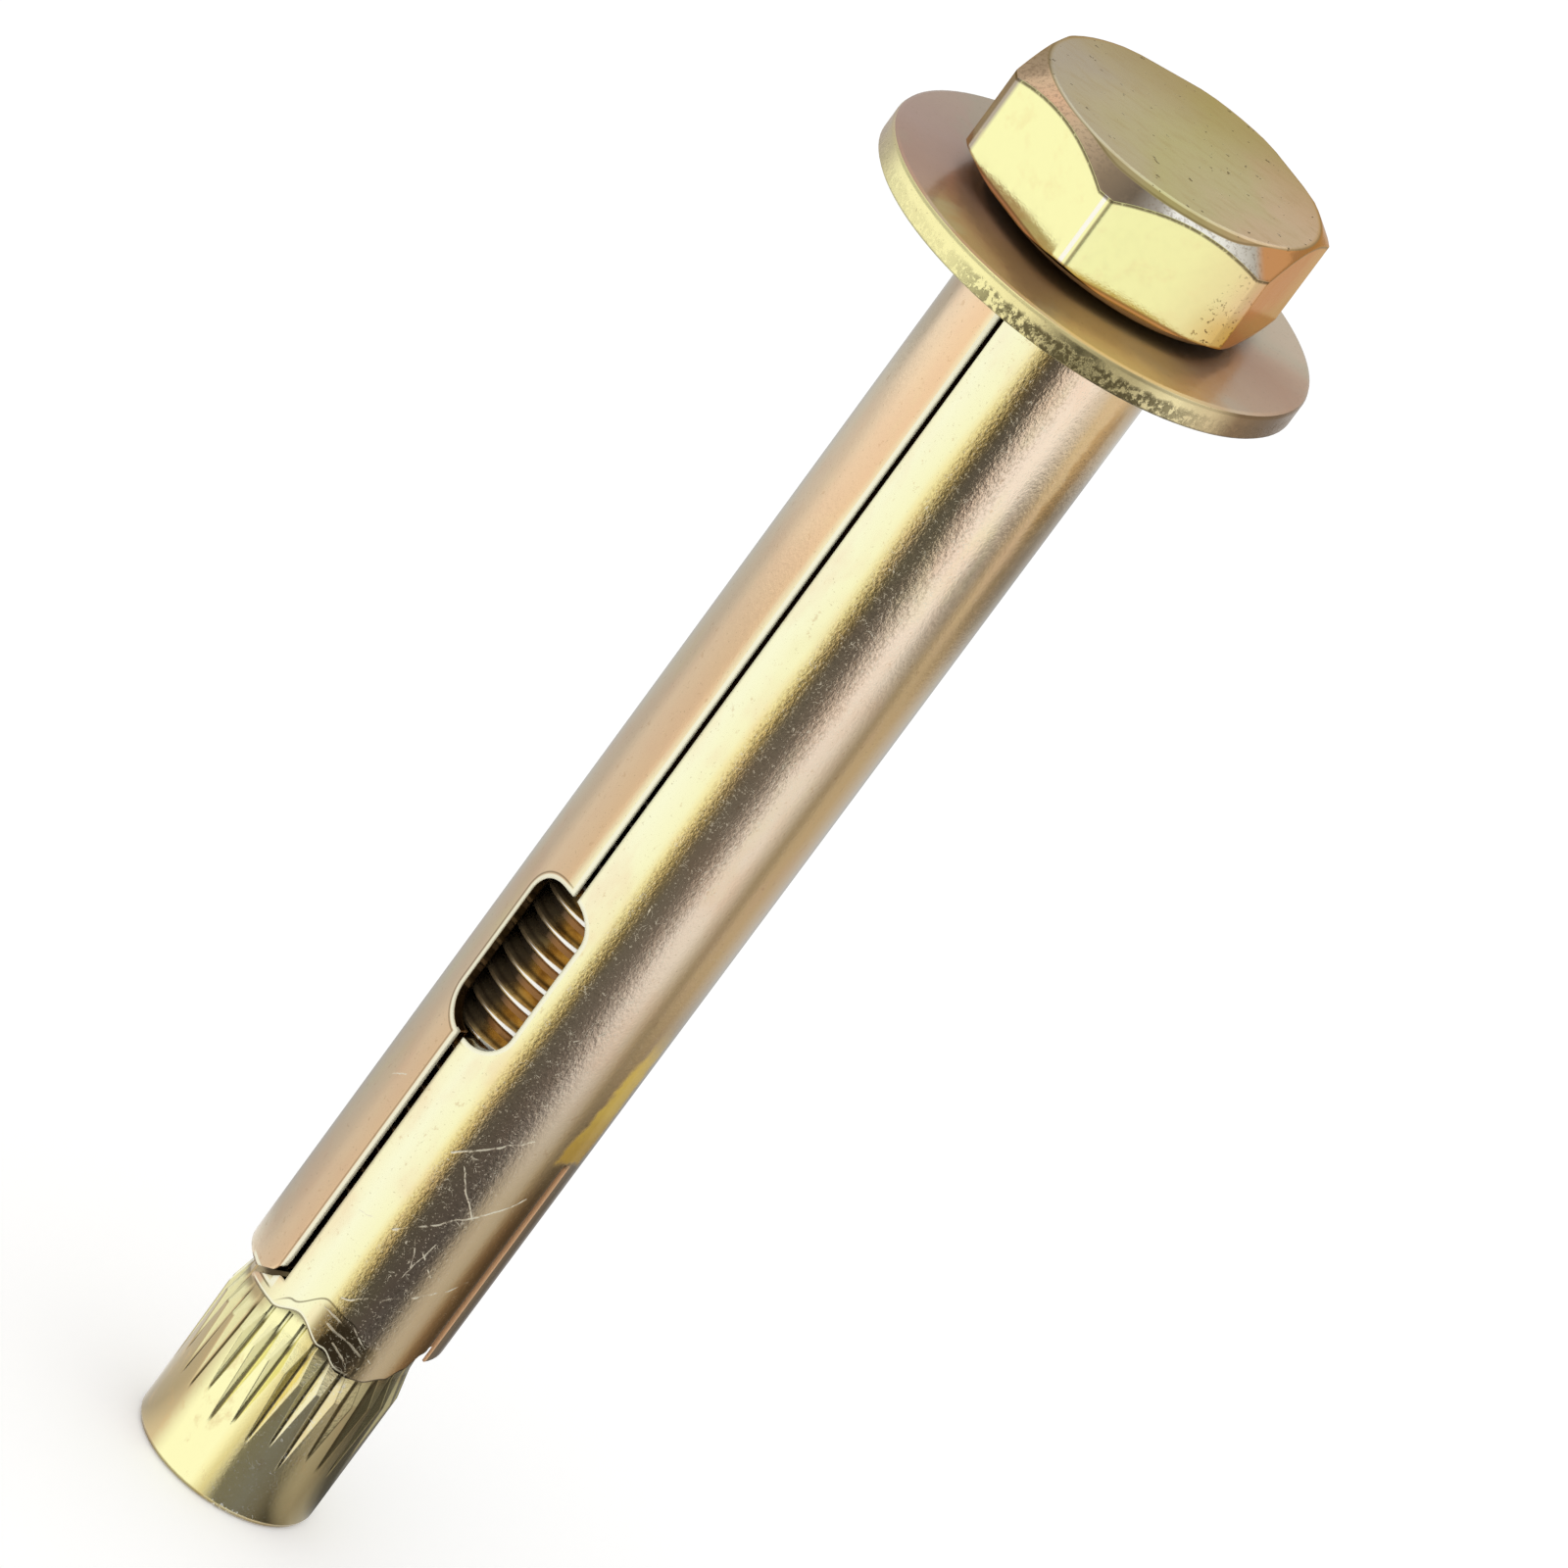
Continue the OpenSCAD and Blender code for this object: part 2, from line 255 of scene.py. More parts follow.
sleeveLook = {
    "radius": 6.0,
    "skin": (5.74, 5.82),      # radii between which a cut's wall becomes the outer face
    "seam": -25.5,             # the cuts, in degrees from the front
    "sprungSlit": -32.9,
    "rightSlit": 64.5,
    "window": -30.8,
    "windowMiddle": 36.3,      # height of its centre
    "windowSides": (0.35, 3.3),  # half the straight part of its width and height
    "windowRound": 1.9,        # radius of its corners
    # colour of the plating by degrees from the front
    "tints": [(-180, (0.88, 0.78, 0.50)), (-130, (0.90, 0.70, 0.42)), (-96, (0.84, 0.74, 0.56)),
              (-76, (0.86, 0.75, 0.54)), (-62, (0.88, 0.70, 0.49)), (-48, (0.91, 0.68, 0.44)),
              (-34, (0.90, 0.62, 0.36)), (-29, (0.95, 0.90, 0.58)), (-20, (0.96, 0.95, 0.66)),
              (-6, (0.95, 0.92, 0.55)), (-1, (0.92, 0.78, 0.34)), (4, (0.84, 0.60, 0.22)),
              (9, (0.80, 0.64, 0.42)), (17, (0.86, 0.66, 0.48)), (26, (0.93, 0.76, 0.60)),
              (37, (0.92, 0.76, 0.58)), (43, (0.86, 0.68, 0.46)), (48, (0.83, 0.60, 0.32)),
              (60, (0.84, 0.58, 0.28)), (72, (0.84, 0.66, 0.44)), (84, (0.84, 0.76, 0.60)),
              (130, (0.92, 0.88, 0.58)), (165, (0.94, 0.90, 0.60))],
    "sway": 0.5,               # how far, in mm, the scratches and creases wander
    # scratches: (degrees, height) to (degrees, height), half width in mm
    "scratches": [((0, 14.9), (55, 18.9), 0.05), ((0, 20.1), (52, 24.9), 0.055), ((0, 25.7), (33, 28.6), 0.05),
                  ((13, 14.0), (33, 12.4), 0.05), ((32, 18.6), (14, 20.4), 0.04), ((30, 22.9), (10, 25.4), 0.04),
                  ((17, 17.2), (23, 20.6), 0.035), ((9, 21.2), (19, 18.6), 0.035), ((-20, 19.6), (4, 20.2), 0.03),
                  ((-46, 27.0), (-62, 25.6), 0.03), ((8, 44.0), (14, 40.5), 0.03), ((18, 35.0), (30, 36.4), 0.03)],
    # the fold over the staked place and the trimmed wavy end, as (degrees, height)
    "fold": [(-34, 11.7), (-20, 13.0), (-5, 14.4), (8, 14.1), (30, 13.4), (46, 12.0)],
    "wave": [(-52, 11.8), (-29, 11.8), (-13, 12.6), (6, 11.65), (20, 10.9), (34, 11.02), (46, 11.55), (54, 12.4),
             (60, 13.6), (64, 14.0)],
    "creases": [((2, 13.2), (26, 12.5), 0.08), ((-4, 13.9), (10, 13.7), 0.05), ((10, 12.3), (24, 11.5), 0.05)],
    # the painted highlight colour of the rolled-over rims
    "rim": (1.0, 0.97, 0.74),
    "orangeLine": (0.90, 0.52, 0.27),
    "gold": (0.80, 0.50, 0.08),
    "straw": (1.0, 0.69, 0.12),
    "brown": (0.62, 0.36, 0.12),
}


def sleeveZinc():
    look = sleeveLook
    paint = Paint("sleeveZinc")
    turn = paint.turn()
    x, y, z = paint.parts()
    wander = paint.noise(paint.stretched(0.35, 0.35, 0.06), 1.0, 3.0) - 0.5
    colour = paint.dial(turn + wander * 9.0, look["tints"])
    blotch = paint.noise(paint.stretched(0.5, 0.5, 0.2), 0.7, 4.0, 0.6)
    colour = paint.blend(paint.smooth(blotch, 0.44, 0.74) * 0.40, colour, tint(0.86, 0.56, 0.36))
    drift = paint.noise(paint.stretched(0.3, 0.3, 0.1), 1.0, 3.0, 0.6)
    colour = paint.blend(paint.smooth(drift, 0.56, 0.80) * 0.45, colour, tint(0.86, 0.80, 0.42))

    # a golden patch and a golden brown spot on the right
    ragged = (paint.noise(paint.millimetres(), 0.9, 3.0) - 0.5) * 9.0
    side = turn + ragged
    low = z + ragged * 0.25
    gold = (paint.smooth(side - (z - 27.5) * 1.3, 50, 55) * paint.fade(side, 76, 82)
            * paint.smooth(low, 27.2, 27.8) * paint.fade(low, 34.0, 38.0))
    golden = paint.blend(paint.smooth(paint.noise(paint.millimetres(), 1.1, 3.0) * 2.0 + z, 29.5, 33.0),
                         tint(*look["gold"]), tint(*look["straw"]))
    colour = paint.blend(gold * 0.95, colour, golden)
    spot = (paint.smooth(side, 53, 57) * paint.fade(side, 62, 67)
            * paint.smooth(low, 71, 74) * paint.fade(low, 79, 82))
    colour = paint.blend(spot * 0.7, colour, tint(*look["brown"]))

    # beside the right slit: a bright orange lip, then a brown strip
    slit = across(paint, look["rightSlit"])
    onLeaf = paint.fade(z, 27.0, 27.6) * paint.smooth(x, 2.0, 3.0)
    lip = onLeaf * within(paint, slit, 0.19, 0.44, 0.03)
    colour = paint.blend(lip, colour, tint(*look["orangeLine"]))
    strip = paint.fade(z, 24.0, 28.0) * paint.smooth(turn, 68.0, 70.0)
    strip = strip * paint.fade(turn, 92.0, 110.0)
    colour = paint.blend(strip * 0.6, colour, tint(*look["brown"]))
    warm = within(paint, turn, 48, 62, 5.0) * paint.fade(z, 22.0, 29.0)
    colour = paint.blend(warm * 0.75, colour, tint(0.62, 0.30, 0.09))

    # grey and copper specks in the plating
    speck = paint.smooth(paint.noise(paint.millimetres(), 7.0, 2.0), 0.66, 0.74)
    colour = paint.blend(speck * 0.35, colour, tint(0.35, 0.27, 0.16))
    rust = paint.smooth(paint.noise(paint.stretched(1, 1, 0.7), 2.3, 4.0, 0.7), 0.62, 0.70)
    colour = paint.blend(rust * 0.35, colour, tint(0.55, 0.33, 0.16))

    # the staked place is drawn in under its fold, and painted shade darkens the drawn-in part
    front = paint.fade(y, -1.0, 0.0)
    foldOff = z - drawnLine(paint, turn, look["fold"])
    under = paint.fade(foldOff, -0.45, 0.10) * within(paint, turn, -24, 34, 8.0)
    shadowed = under * within(paint, turn, -4, 36, 4.0)
    colour = paint.blend(shadowed * 0.88, colour, tint(0.24, 0.165, 0.07))
    tip = within(paint, turn, -42, -27, 2.0) * paint.fade(z, 12.6, 13.6) * front
    colour = paint.blend(tip * 0.8, colour, tint(0.95, 0.92, 0.58))
    # warmer towards the lower end
    beige = within(paint, turn, 27, 46, 6.0) * paint.fade(z, 22.0, 34.0)
    colour = paint.blend(beige * 0.6, colour, tint(0.90, 0.68, 0.36))
    # painted reflection: bristly dark borders along both sides of the dark reflected band
    bristle = paint.smooth(paint.noise(paint.stretched(1.0, 1.0, 0.8), 6.0, 3.0, 0.7), 0.49, 0.58)
    leftBorder = bristle * within(paint, turn + wander * 6.0, -2.0, 4.0, 2.0)
    colour = paint.blend(leftBorder * 0.55, colour, tint(0.46, 0.31, 0.10))
    rightBorder = bristle * within(paint, turn + wander * 6.0, 19.0, 27.0, 3.0)
    colour = paint.blend(rightBorder * 0.40, colour, tint(0.34, 0.25, 0.16))
    foldLine = within(paint, foldOff, -0.07, 0.05, 0.05) * within(paint, turn, -26, 16, 5.0)

    # painted highlights on the rolled-over rims (the wavy end, the seam's left side, the window and the sprung
    # slit), with painted shade lines beside them and along the fold
    wave = z - drawnLine(paint, turn, look["wave"])
    onWave = within(paint, turn, -49, 60, 3.0) * front
    waveRim = within(paint, wave, 0.12, 0.22, 0.035) * onWave * paint.fade(turn, 14, 30)
    waveShade = paint.fade(wave, 0.08, 0.13) * onWave
    seam = across(paint, look["seam"])
    seamRim = within(paint, seam, -0.46, -0.10, 0.035) * paint.smooth(z, 40.5, 41.0)
    split = across(paint, look["sprungSlit"])
    splitRim = within(paint, split, -0.53, -0.17, 0.035) * within(paint, z, 12.5, 31.6, 0.15)
    leafEnd = within(paint, turn, -62, -36, 2.0)
    splitRim = paint.most(splitRim, within(paint, z, 12.46, 12.66, 0.04) * leafEnd)
    leafShade = paint.fade(z, 12.42, 12.47) * paint.smooth(z, 12.30, 12.34) * leafEnd
    halfWidth, halfHeight = look["windowSides"]
    windowX = paint.most(abs(across(paint, look["window"])) - halfWidth, 0.0)
    windowZ = paint.most(abs(z - look["windowMiddle"]) - halfHeight, 0.0)
    window = paint.hypotenuse(windowX, windowZ) - look["windowRound"]
    leftOf = paint.fade(across(paint, look["window"]), -0.4, 0.6)
    windowRim = paint.fade(window, 0.20, 0.27) * front
    windowShade = within(paint, window, 0.30, 0.38, 0.05) * leftOf * front
    reach = paint.hypotenuse(x, y)
    outer = paint.smooth(reach, *look["skin"])
    rim = paint.most(paint.most(seamRim, splitRim) * front * outer,
                     windowRim * paint.smooth(reach, 5.90, 5.96), waveRim)
    splitShade = within(paint, split, -0.66, -0.56, 0.04) * within(paint, z, 12.9, 31.0, 0.2) * front
    shade = paint.most(windowShade, splitShade * 0.6, waveShade, leafShade * front, foldLine)
    colour = paint.blend(shade * 0.72 * (1.0 - rim), colour, tint(0.12, 0.08, 0.03))
    colour = paint.blend(rim * 0.9, colour, tint(*look["rim"]))

    # scratches, and creases raised by the bump with a painted highlight along them
    sway = paint.node("VectorMath", {0: paint.noise(paint.millimetres(), 0.8, 2.0, out=1), 3: look["sway"]},
                      operation="SCALE")
    bent = paint.node("VectorMath", {0: paint.rolled(look["radius"]), 1: sway}, operation="ADD")
    marks, folds = [
        paint.most(*[paint.stroke(bent, start, end, look["radius"], width, look["sway"] / 2)
                     for start, end, width in look[kind]])
        for kind in ("scratches", "creases")]
    marks = marks * paint.smooth(paint.noise(paint.millimetres(), 2.4, 2.0), 0.30, 0.50)
    inBand = paint.smooth(turn, -6, 2) * paint.smooth(turn, 26, 42, 1.0, 0.15)
    light = paint.most(marks, fibres(paint, 0.85) * inBand)
    # painted shade darkens the cut walls and the gaps, apart from the walls' outermost edge
    wall = paint.fade(window, -0.02, 0.03) * front
    shut = paint.most(shutIn(paint, 0.92, 0.45) * (1.0 - wall), wall * 0.86)
    shut = shut * paint.fade(reach, 5.84, 5.95) * (1.0 - lip) * (1.0 - rim * 0.9)
    # the creases get a painted highlight in the same pale colour
    light = paint.most(light, folds * 0.7) * (1.0 - shut)
    colour = paint.blend(light, colour, tint(*zinc["scuffAndHighlight"]))
    colour = paint.blend(shut, colour, tint(*zinc["paintedShade"]))
    dull = paint.most(light * 0.55, rim * 0.75, lip * 0.8, gold * 0.45)
    rough = uneven(paint, 0.07, 0.14) + light * 0.2
    height = folds * 0.03 - marks * 0.006 + under * 0.02
    bump = zincBump(paint, 1.0 + inBand * 1.8, (1.0, 1.0, 0.6), height)
    return paint.metal(colour, rough, bump, metallic=1.0 - dull)


nutLook = {
    "tints": [(-180, (0.90, 0.80, 0.48)), (-74, (0.46, 0.37, 0.21)), (-44, (0.66, 0.51, 0.27)),
              (-32, (1.0, 0.96, 0.52)), (-10, (1.0, 0.96, 0.52)), (0, (0.94, 0.80, 0.34)),
              (20, (0.92, 0.84, 0.54)), (34, (0.78, 0.64, 0.34)), (56, (0.52, 0.40, 0.19)),
              (110, (0.93, 0.86, 0.52)), (180, (0.90, 0.80, 0.48))],
    "splineTurn": 4.0,         # degrees, of one root
    "splinePitch": 12.0,
    "splineArc": 1.162,        # the pitch in mm round the nut
    "skin": (5.50, 5.54),      # from a spline's flank to the nut's outside
}


def nutZinc():
    look = nutLook
    paint = Paint("nutZinc")
    turn = paint.turn()
    x, y, z = paint.parts()
    wander = paint.noise(paint.stretched(0.35, 0.35, 0.1), 1.0, 3.0) - 0.5
    colour = paint.dial(turn + wander * 12.0, look["tints"])
    stain = paint.smooth(paint.noise(paint.stretched(1, 1, 0.6), 0.9, 4.0, 0.65), 0.54, 0.70)
    colour = paint.blend(stain * 0.4, colour, tint(0.72, 0.50, 0.24))
    flat = paint.fade(z, 0.5, 1.4)
    specks = paint.smooth(paint.noise(paint.millimetres(), 4.2, 2.0), 0.62, 0.68)
    inBand = paint.smooth(turn, 0, 6) * paint.smooth(turn, 30, 44, 1.0, 0.1)
    light = paint.most(specks * flat, fibres(paint, 0.7)) * inBand
    # the rolled splines: painted shade in each root, and painted highlights on the flanks, strongest on the left
    lap = (turn - look["splineTurn"]) / look["splinePitch"]
    fromRoot = paint.maths("FRACT", lap + 0.5) - 0.5
    root = abs(fromRoot) * look["splineArc"]
    reach = paint.hypotenuse(x, y)
    sunk = paint.fade(reach, *look["skin"]) * paint.smooth(z, 3.4, 4.0) * paint.fade(z, 10.2, 10.9)
    flank = sunk * paint.smooth(turn, -6, 2, 1.0, 0.25) * paint.smooth(root, 0.10, 0.16)
    colour = paint.blend(flank * 0.9, colour, tint(1.0, 0.95, 0.52))
    colour = paint.blend(sunk * paint.fade(root, 0.05, 0.10) * 0.9, colour, tint(0.08, 0.055, 0.015))
    rimEnd = paint.fade(z, 0.22, 0.34)
    colour = paint.blend(rimEnd * 0.7, colour, tint(0.30, 0.22, 0.10))
    # painted shade in the gap under the sleeve's end
    shut = shutIn(paint, 0.84, 0.50, 1.5) * paint.smooth(z, 9.6, 10.2)
    colour = paint.blend(light, colour, tint(0.90, 0.88, 0.80))
    colour = paint.blend(shut * 0.92, colour, tint(0.05, 0.03, 0.012))
    rough = uneven(paint, 0.07, 0.14) + light * 0.2
    leftSide = flank * paint.fade(fromRoot, -0.03, 0.02) * paint.fade(turn, -8, 2)
    dull = paint.most(light * 0.5, leftSide * 0.9, inBand * 0.13)
    return paint.metal(colour, rough, zincBump(paint, 1.0 + inBand, edge=0.35), metallic=1.0 - dull)


washerLook = {
    "top": [(-180, (0.72, 0.62, 0.44)), (-90, (0.66, 0.45, 0.36)), (-64.8, (0.62, 0.38, 0.27)),
            (-28.8, (0.56, 0.36, 0.18)), (7.2, (0.52, 0.34, 0.15)), (43.2, (0.62, 0.44, 0.24)),
            (64.8, (0.74, 0.56, 0.38)), (82.8, (0.64, 0.40, 0.26)), (115.2, (0.74, 0.60, 0.44)),
            (180, (0.72, 0.62, 0.44))],
    # stains on the top: from and to in degrees, strength, colour
    "stains": [(52, 100, 14.0, 0.65, (0.52, 0.32, 0.20)), (-140, -50, 14.0, 0.22, (0.10, 0.06, 0.04)),
               (-4, 40, 10.0, 0.60, (1.0, 0.71, 0.27))],
    "rim": [(-180, (0.74, 0.62, 0.40)), (-82.8, (0.84, 0.64, 0.42)), (-57.6, (0.97, 0.90, 0.46)),
            (-21.6, (0.97, 0.90, 0.44)), (0, (0.80, 0.68, 0.33)), (21.6, (0.48, 0.40, 0.20)),
            (34.2, (0.95, 0.82, 0.46)), (45, (0.86, 0.68, 0.38)), (54, (0.32, 0.20, 0.10)),
            (72, (0.26, 0.155, 0.07)), (90, (0.46, 0.31, 0.18)), (180, (0.74, 0.62, 0.40))],
    "sheared": (85.55, 85.85),  # heights where the sheared lower band of the rim ends
    "brim": (86.38, 86.50),
}


def washerZinc():
    look = washerLook
    paint = Paint("washerZinc")
    x, y, z = paint.parts()
    turn = paint.turn()
    wander = paint.noise(paint.millimetres(), 0.13, 3.0, 0.55, Distortion=0.4)
    top = paint.dial(turn + (wander - 0.5) * 60.0, look["top"])
    top = paint.blend(paint.smooth(wander, 0.50, 0.62) * 0.5, top, tint(0.60, 0.56, 0.40))
    for start, end, soft, strength, stain in look["stains"]:
        top = paint.blend(within(paint, turn, start, end, soft) * strength, top, tint(*stain))
    # the rim: a smooth pale upper band over a rough sheared one
    side = paint.dial(turn, look["rim"])
    ragged = paint.noise(paint.stretched(1, 1, 0.5), 1.4, 3.0) * 0.7
    sheared = paint.fade(z + ragged, *look["sheared"])
    pits = paint.smooth(paint.noise(paint.stretched(1.0, 1.0, 0.8), 2.9, 4.0, 0.75), 0.43, 0.55)
    front = paint.smooth(abs(turn - 8.0), 16, 42, 1.0, 0.14)
    pitted = sheared * pits * front
    side = paint.blend(pitted * 0.85, side, tint(0.11, 0.085, 0.035))
    brim = within(paint, z, *look["brim"], 0.03) * paint.fade(abs(turn - 4.0), 24, 44)
    side = paint.blend(brim * 0.7, side, tint(0.16, 0.10, 0.04))
    facing = paint.upward()
    colour = paint.blend(paint.smooth(facing, 0.5, 0.8), side, top)
    specks = paint.smooth(paint.noise(paint.millimetres(), 6.0, 2.0), 0.66, 0.72)
    colour = paint.blend(specks * 0.3, colour, tint(0.30, 0.20, 0.10))
    # painted shade round the head and in the gaps
    shut = shutIn(paint, 0.90, 0.30, 1.9)
    colour = paint.blend(shut * 0.80, colour, tint(0.09, 0.055, 0.025))
    rough = uneven(paint, 0.18, 0.27, 2.0) + pitted * 0.25
    # satin on top
    satin = paint.smooth(facing, 0.6, 0.9) * 0.45
    return paint.metal(colour, rough, zincBump(paint, 0.9, extra=pitted * -0.03, edge=0.5), metallic=1.0 - satin)


headLook = {
    "top": 93.165,             # height where the chamfer's cone meets the flat top's edge
    "topRadius": 8.5,
    "axisX": -0.38,
    "axisY": 0.55,
    "slope": math.tan(math.radians(38)),
    "glancing": (0.97, 0.73, 0.45),
    # the upright faces: lemon, then gold and copper round to the right
    "sides": [(-180, (0.92, 0.84, 0.48)), (-112, (0.80, 0.62, 0.36)), (-74, (0.45, 0.38, 0.30)),
              (-65.4, (0.47, 0.40, 0.31)), (-64.8, (0.97, 0.95, 0.48)), (-12, (0.97, 0.94, 0.47)),
              (0, (0.94, 0.92, 0.44)), (26, (0.93, 0.88, 0.42)), (42, (0.86, 0.74, 0.36)),
              (48.6, (0.80, 0.58, 0.30)), (52.4, (0.80, 0.50, 0.28)), (54, (0.80, 0.32, 0.09)),
              (70, (0.78, 0.30, 0.08)), (88, (0.78, 0.34, 0.12)), (112, (0.86, 0.66, 0.36)),
              (180, (0.92, 0.84, 0.48))],
    # the flat top from left to right: mauve, olive in the middle, pink
    "flat": [(0.10, (0.71, 0.71, 0.66)), (0.30, (0.79, 0.78, 0.60)), (0.50, (0.80, 0.83, 0.50)),
             (0.68, (0.83, 0.83, 0.56)), (0.82, (0.93, 0.80, 0.62)), (0.97, (0.98, 0.78, 0.62))],
    # the turned chamfer: copper on the left, dark at the front corner, near-white on the right
    "cone": [(-180, (0.70, 0.62, 0.40)), (-84, (0.50, 0.42, 0.32)), (-62, (0.74, 0.53, 0.35)),
             (-52, (0.82, 0.52, 0.33)), (-34, (0.62, 0.46, 0.29)), (-16, (0.30, 0.22, 0.14)),
             (-4, (0.17, 0.13, 0.09)), (6, (0.44, 0.40, 0.34)), (12, (1.0, 0.98, 0.90)),
             (32, (0.95, 0.93, 0.84)), (46, (0.52, 0.48, 0.40)), (56, (0.42, 0.36, 0.27)),
             (70, (0.62, 0.44, 0.30)), (110, (0.74, 0.62, 0.42)), (180, (0.70, 0.62, 0.40))],
}


def boltZinc():
    look = headLook
    paint = Paint("boltZinc")
    x, y, z = paint.parts()
    aside = x - look["axisX"]
    along = y - look["axisY"]
    reach = paint.hypotenuse(aside, along)
    turn = paint.maths("ARCTAN2", aside, -y) * math.degrees(1)
    facing = paint.upward()
    ring = z - (look["top"] + look["topRadius"] * look["slope"]) + reach * look["slope"]
    wander = paint.noise(paint.millimetres(), 0.16, 3.0, 0.55)
    fleck = paint.noise(paint.millimetres(), 4.2, 3.0, 0.7)

    # the upright faces
    sides = paint.dial(turn, look["sides"])
    mottle = paint.smooth(paint.noise(paint.millimetres(), 0.7, 4.0, 0.65), 0.50, 0.72)
    sides = paint.blend(mottle * 0.30, sides, tint(0.88, 0.72, 0.34))
    low = paint.fade(z + wander * 2.0, 89.4, 91.0) * paint.smooth(turn, 34, 54)
    sides = paint.blend(low * 0.8, sides, tint(0.66, 0.40, 0.07))
    # the front corner: a painted highlight along the rounded edge, and painted shade as a dark line on its right
    strip = within(paint, turn, -10.0, -8.6, 0.25)
    sides = paint.blend(strip * 0.85, sides, tint(0.98, 0.94, 0.88))
    line = within(paint, turn, -7.6, -7.0, 0.45)
    sides = paint.blend(line * 0.75, sides, tint(0.20, 0.12, 0.05))
    # the flat top, darker and browner away from the front
    flat = paint.ramp(aside * 0.055 + 0.5 + (wander - 0.5) * 0.5, look["flat"])
    away = paint.smooth(along, -1.0, 8.0)
    flat = paint.blend(away * 0.55, flat, tint(0.55, 0.45, 0.16))
    swirl = paint.smooth(paint.noise(paint.stretched(0.5, 1.4, 1.0), 1.2, 4.0, 0.7), 0.46, 0.70)
    flat = paint.blend(swirl * 0.22, flat, tint(0.56, 0.44, 0.24))
    # the flat's colour is carried a little way down the chamfer, up to a thin dark line, and painted shade darkens
    # the flat's outer edge
    edge = reach - within(paint, turn, -24, 46, 12.0) * 0.34 - 8.46
    flat = paint.blend(within(paint, edge, -0.12, -0.02, 0.05) * 0.45, flat, tint(0.20, 0.14, 0.07))
    flat = paint.blend(paint.smooth(reach, 8.14, 8.34), flat, tint(0.88, 0.82, 0.70), "MULTIPLY")
    # the turned chamfer
    cone = paint.dial(turn + (wander - 0.5) * 8.0, look["cone"])
    cone = paint.blend(paint.smooth(fleck, 0.48, 0.62) * 0.45, cone, tint(0.24, 0.18, 0.12))
    cone = paint.blend(paint.smooth(turn, 46, 52), cone, tint(0.62, 0.30, 0.12))
    # on the chamfer the flat's colour is darkened, as painted shade
    cone = paint.blend(paint.fade(edge, -0.04, 0.03), cone,
                       paint.blend(1.0, flat, tint(0.62, 0.55, 0.42), "MULTIPLY"))
    onCone = paint.fade(abs(ring), 0.02, 0.07)
    colour = paint.blend(paint.smooth(facing, 0.90, 0.97), sides, flat)
    colour = paint.blend(onCone * paint.smooth(facing, 0.2, 0.4), colour, cone)
    # a thin dark outline along the arched tops of the faces
    outline = paint.smooth(ring, -0.26, -0.12) * paint.fade(ring, -0.05, 0.0)
    outline = outline * paint.fade(facing, 0.2, 0.4)
    colour = paint.blend(outline * paint.smooth(fleck, 0.30, 0.50, 0.35, 0.85), colour, tint(0.12, 0.08, 0.04))
    # the lower edge: brown with a copper line, and the bearing collar under the head darker brown as painted shade
    base = paint.fade(z, 87.30, 87.42)
    colour = paint.blend(base * 0.85, colour, tint(0.46, 0.27, 0.13))
    copper = within(paint, z, 87.12, 87.24, 0.04)
    colour = paint.blend(copper * 0.8, colour, tint(0.95, 0.58, 0.36))
    under = paint.fade(z, 86.98, 87.06)
    colour = paint.blend(under * 0.9, colour, tint(0.34, 0.20, 0.09))
    # everything inside the sleeve is dark brown, partly its own colour and partly painted shade, and black on the
    # left as painted shade
    inside = paint.blend(paint.smooth(turn, -40, -22), tint(0.07, 0.05, 0.03), tint(0.34, 0.16, 0.05))
    colour = paint.blend(paint.fade(z, 86.2, 86.4), colour, inside)
    # dark pits on the top and specks at the right corner
    pits = paint.smooth(paint.noise(paint.millimetres(), 1.5, 3.0, 0.7), 0.655, 0.69)
    pits = pits * paint.smooth(facing, 0.9, 0.97)
    specks = paint.smooth(fleck, 0.60, 0.68) * paint.fade(abs(turn - 48.0), 3.0, 9.0)
    dark = paint.most(pits, specks * paint.smooth(z, 88.0, 91.5, 1.0, 0.2))
    colour = paint.blend(dark * 0.8, colour, tint(0.10, 0.07, 0.04))
    shut = shutIn(paint) * paint.fade(z, 87.05, 87.2)
    colour = paint.blend(shut * 0.40, colour, tint(*zinc["paintedShade"]))
    rough = uneven(paint, 0.07, 0.14, 2.0) + dark * 0.3
    return paint.metal(colour, rough, zincBump(paint, 0.6, extra=dark * -0.02, edge=0.9),
                       metallic=1.0 - under * 0.7, glancing=look["glancing"])


